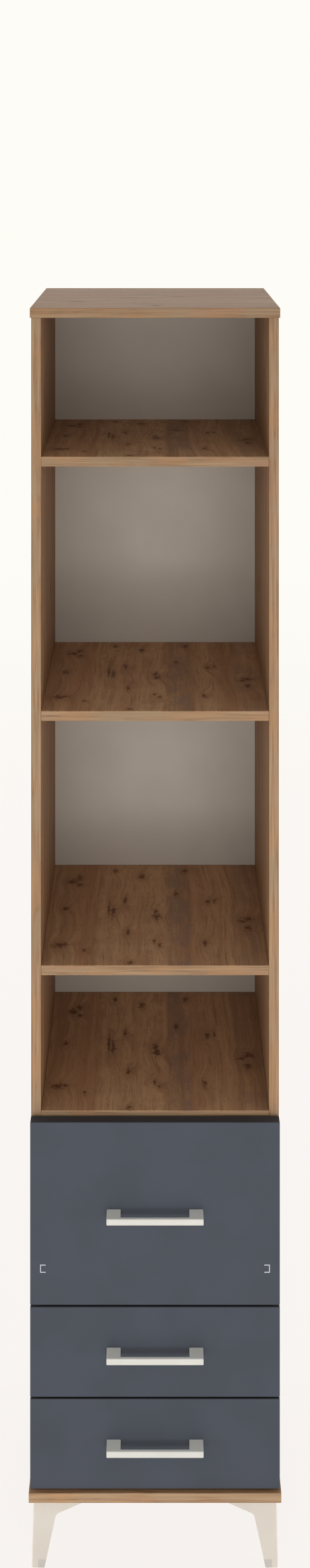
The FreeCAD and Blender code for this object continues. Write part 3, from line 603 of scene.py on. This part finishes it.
# A cam lock: how deep its face is dished, how deep its crossed drive is, the reach and half width
# of the arms at the floor and at the face, and the width of the rim against the radius. The groove
# round the lock is given against its depth and its radius.
CAM_DISH = 0.0004
CAM_DRIVE_DEPTH = 0.0022
CAM_DRIVE_FLOOR = (0.0030, 0.0008)
CAM_DRIVE_FACE = (0.0034, 0.0011)
CAM_RIM = 0.08
CAM_GROOVE = ((0.38, 1.0), (0.44, 0.93), (0.62, 0.93), (0.68, 1.0), (1.0, 1.0))

# The bolt that it draws in: its end's chamfer and radius, its neck against its length and radius,
# and how far from the lock's middle it stops, against the lock's radius.
BOLT_CHAMFER = 0.0006
BOLT_END = 0.7
BOLT_NECK = ((0.28, 1.0), (0.30, 0.72), (0.34, 0.72), (0.36, 1.0))
BOLT_STOP = 0.95


def lathe(mesh, base, way, rings):
    """Adds a closed turned form: each ring gives how far it lies along the way and its reach."""
    way = way.normalized()
    side = way.orthogonal().normalized()
    up = way.cross(side)
    loops = []
    for along, reach in rings:
        loop = []
        for corner in range(RING):
            angle = corner * math.tau / RING
            radius = reach(angle) if callable(reach) else reach
            out = side * math.cos(angle) + up * math.sin(angle)
            loop.append(mesh.verts.new(base + way * along + out * radius))
        loops.append(loop)
    for first, second in zip(loops, loops[1:]):
        for corner in range(RING):
            after = (corner + 1) % RING
            mesh.faces.new((first[corner], first[after], second[after], second[corner]))
    mesh.faces.new(list(reversed(loops[0])))
    mesh.faces.new(loops[-1])


def smooth_by_angle(data):
    """Shades a mesh smooth, apart from its sharp edges."""
    data.shade_smooth()
    shape = bmesh.new()
    shape.from_mesh(data)
    for edge in shape.edges:
        edge.smooth = len(edge.link_faces) == 2 and edge.calc_face_angle() < SHARP
    shape.to_mesh(data)
    shape.free()


def finished(mesh, name, body, finish, replaced=()):
    """Turns a mesh into a piece of the model that rides on a body."""
    bmesh.ops.recalc_face_normals(mesh, faces=mesh.faces)
    data = bpy.data.meshes.new(name)
    mesh.to_mesh(data)
    mesh.free()
    data.materials.append(finish)
    made = bpy.data.objects.new(name, data)
    bpy.context.scene.collection.objects.link(made)
    smooth_by_angle(data)
    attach(made, body)
    if replaced:
        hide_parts(*replaced)


def screw(mesh, points, recess, recess_depth):
    """A screw in a packed one's place: its chamfered head has a recess, and its shank a thread."""
    low, high = corners(points)
    axis = max((X, Y, Z), key=lambda way: high[way] - low[way])
    ends = [slice_at(points, axis, level) for level in (low[axis], high[axis])]
    (head, head_radius), (tip, shank_radius) = sorted(ends, key=lambda end: -end[1])
    way = tip - head
    length = way.length
    levels = sorted({round(abs(point[axis] - head[axis]), LEVEL_DIGITS) for point in points})
    head_depth = levels[1]  # the first below the head's face
    chamfer = head_radius * CHAMFER
    rings = [
        (recess_depth, lambda angle: recess(angle) * RECESS_FLOOR),
        (0.0, recess),
        (0.0, head_radius - chamfer),
        (chamfer * CHAMFER_HEIGHT, head_radius),
        (head_depth, head_radius),
        (head_depth, shank_radius),
    ]
    pitch = shank_radius * PITCH
    for turn in range(int((length - head_depth - shank_radius * THREAD_STOP) / pitch)):
        start = head_depth + turn * pitch
        rings.append((start + pitch / 2, shank_radius * ROOT))
        rings.append((start + pitch, shank_radius))
    rings.append((length - shank_radius * POINT_LENGTH, shank_radius * POINT_RADIUS))
    rings.append((length, shank_radius * TIP_RADIUS))
    lathe(mesh, head, way, rings)
    return head, way.normalized(), head_radius


def screws(node, body, made, drive):
    """Detailed screws in place of a node's plain ones. Gives each head's place, way and radius."""
    kind, sizes, depth = drive
    mesh = bmesh.new()
    heads = [
        screw(mesh, points, lambda angle: kind(angle, *sizes), depth) for points in solids(node)
    ]
    finished(mesh, node + "_detail", body, made["fastener_steel"], (node,))
    return heads


def screw_covers(heads, made):
    """Oak-coloured covers over the screw heads in the sides and the top."""
    height = COVER_TOP - COVER_FOOT
    foot, side, top = COVER_INSETS
    mesh = bmesh.new()
    for head, way, radius in heads:
        if way.z > 0.5:  # the screws under the base board point up, and stay bare
            continue
        out = -way
        lathe(mesh, head + out * COVER_FOOT, out, [
            (0.0, radius - foot),
            (height - COVER_BEVEL, radius - side),
            (height, radius - top),
        ])
    finished(mesh, "screw_covers", "carcass", made["oak_upright"])


def cams(drawer, made):
    """Cam locks with a crossed drive in their face, and the bolts that they draw in."""
    node = drawer + "_cam_locks"
    mesh = bmesh.new()
    for points in solids(node):
        side = RIGHT if points[0].x > 0 else LEFT
        outs = [point.x * side for point in points]
        depth = max(outs) - min(outs)
        centre, radius = slice_at(points, X, max(outs) * side)
        rim = radius * CAM_RIM
        lathe(mesh, centre, Vector((-side, 0, 0)), [
            (CAM_DRIVE_DEPTH, lambda angle: cross_recess(angle, *CAM_DRIVE_FLOOR)),
            (CAM_DISH, lambda angle: cross_recess(angle, *CAM_DRIVE_FACE)),
            (CAM_DISH, radius - rim * 4),
            (0.0, radius - rim * 3),
            (0.0, radius - rim),
            (rim, radius),
            *((depth * along, radius * wide) for along, wide in CAM_GROOVE),
        ])
        front, bolt = slice_at(points, Y, min(point.y for point in points))
        reach = centre.y - front.y
        lathe(mesh, front, Vector((0, 1, 0)), [
            (0.0, bolt * BOLT_END),
            (BOLT_CHAMFER, bolt),
            *((reach * along, bolt * wide) for along, wide in BOLT_NECK),
            (reach - radius * BOLT_STOP, bolt),
        ])
    finished(mesh, node + "_detail", drawer, made["zinc_cast"], (node,))


def fasteners(made):
    """Every screw, screw cover and cam lock, each kind on its body."""
    heads = screws("carcass_screws", "carcass", made, CARCASS_DRIVE)
    screw_covers(heads, made)
    screws("mounting_screws", "carcass", made, SHORT_SCREW_DRIVE)
    for drawer in DRAWERS:
        screws(drawer + "_handle_screws", drawer, made, HANDLE_DRIVE)
        screws(drawer + "_runner_screws", drawer, made, SHORT_SCREW_DRIVE)
        cams(drawer, made)


# ---------------------------------------------------------------- stage, light and camera

FLOOR_RADIUS = 40.0
FLOOR_CORNERS = 96
FLOOR_NEAR = shade(250, 246, 243)
BACKGROUND = shade(253, 252, 246)
FLOOR_FADE = (1.2, 6.0)  # how far out the floor takes on the background's tone
# How much of its tone the floor shows without shadow: two distances, and the share at each.
FLOOR_GLOW = (0.7, 2.2, 0.9, 1.0)
AMBIENT = 0.51
AMBIENT_COLOUR = (1.0, 0.99, 0.97, 1.0)

# The key light is a column of wide softboxes before the bookcase: the height and share of each.
KEY_COLUMN = (
    (0.25, 0.172), (0.75, 0.09), (1.25, 0.068), (1.75, 0.042), (2.25, 0.02), (2.75, 0.038),
)
KEY_FRONT = -2.85
KEY_SIZE = (3.0, 0.5)

# Each of the others: its place, the point that it is aimed at, its size and its share. The side and
# low fill lights stand in pairs, left and right.
MIDDLE = (0.0, 0.0, 1.0)
SIDE = ((4.2, 1.0, 1.0), MIDDLE, (2.0, 1.8), 0.45)
LOW_FILL = ((4.2, -1.2, 0.3), (0.0, 0.0, 0.3), (2.0, 0.7), 0.117)
RIM = ((0.0, 4.4, 1.4), MIDDLE, (2.6, 2.4), 0.39)

# The camera stands level, 2.25 m in front of the carcass and 0.24 m over its top, and its shift
# carries the view down to the feet.
EYE = (0.0, -2.403, 2.266)
LENS = 32.03
SENSOR = 36.0
SHIFT = -0.4
CLIP_END = 200.0


def bright_rays(graph):
    """1 for the rays that see the background itself: from the camera, a mirror or a glass."""
    path = graph.node("LightPath")
    seen = path.outputs["Is Camera Ray"]
    for word in ("Is Glossy Ray", "Is Transmission Ray"):
        seen = graph.math("MAXIMUM", seen, path.outputs[word])
    return seen


def floor():
    """A wide pale floor that fades into the background."""
    mesh = bpy.data.meshes.new("floor")
    rim = bmesh.new()
    bmesh.ops.create_circle(rim, cap_ends=True, segments=FLOOR_CORNERS, radius=FLOOR_RADIUS)
    rim.to_mesh(mesh)
    rim.free()
    made = bpy.data.objects.new("floor", mesh)
    bpy.context.scene.collection.objects.link(made)

    graph = Graph(bpy.data.materials.new("floor"))
    graph.tree.nodes.clear()
    away = graph.vector("LENGTH", graph.place())
    tone = graph.mix(graph.spread(away, *FLOOR_FADE), FLOOR_NEAR, BACKGROUND)
    diffuse = graph.node("BsdfDiffuse")
    graph.feed(diffuse.inputs["Color"], tone)
    glow = graph.node("Emission")
    graph.feed(glow.inputs["Color"], tone)
    share = graph.math("MULTIPLY", bright_rays(graph), graph.spread(away, *FLOOR_GLOW))
    graph.end_in("OutputMaterial", share, diffuse.outputs[0], glow.outputs[0])
    mesh.materials.append(graph.owner)


def world():
    """Weak even light all round, seen as a near-white background."""
    graph = Graph(bpy.data.worlds.new("studio"))
    graph.tree.nodes.clear()
    bpy.context.scene.world = graph.owner
    lit = graph.node("Background")
    lit.inputs["Color"].default_value = AMBIENT_COLOUR
    lit.inputs["Strength"].default_value = AMBIENT
    shown = graph.node("Background")
    shown.inputs["Color"].default_value = BACKGROUND
    graph.end_in("OutputWorld", bright_rays(graph), lit.outputs[0], shown.outputs[0])


def softbox(name, place, aim, size, share):
    """An area lamp that gives a share of full light at the point that it is aimed at."""
    light = bpy.data.lights.new(name, "AREA")
    light.shape = "RECTANGLE"
    light.size, light.size_y = size
    way = Vector(aim) - Vector(place)
    light.energy = share * math.pi ** 2 * way.length_squared
    made = bpy.data.objects.new(name, light)
    made.location = place
    made.rotation_euler = way.to_track_quat("-Z", "Y").to_euler()
    made.visible_camera = False
    bpy.context.scene.collection.objects.link(made)


def lights():
    """The key column in front, pairs at the sides and low in front, and one lamp behind."""
    for row, (height, share) in enumerate(KEY_COLUMN):
        softbox("key_%d" % row, (0.0, KEY_FRONT, height), (0.0, 0.0, height), KEY_SIZE, share)
    for word, side in (("left", LEFT), ("right", RIGHT)):
        for name, (place, aim, size, share) in (("side_", SIDE), ("low_fill_", LOW_FILL)):
            out, back, up = place
            softbox(name + word, (side * out, back, up), aim, size, share)
    softbox("rim", *RIM)


def camera():
    """A level camera at the photograph's viewing angle."""
    data = bpy.data.cameras.new("camera")
    data.sensor_width = SENSOR
    data.lens = LENS
    data.shift_y = SHIFT
    data.clip_end = CLIP_END
    made = bpy.data.objects.new("camera", data)
    made.location = EYE
    made.rotation_euler = (math.radians(90), 0, 0)
    bpy.context.scene.collection.objects.link(made)
    bpy.context.scene.camera = made


bpy.context.scene.view_settings.view_transform = "Standard"
camera()
floor()
world()
lights()
finish = finishes()
dress_frame(finish)
fasteners(finish)
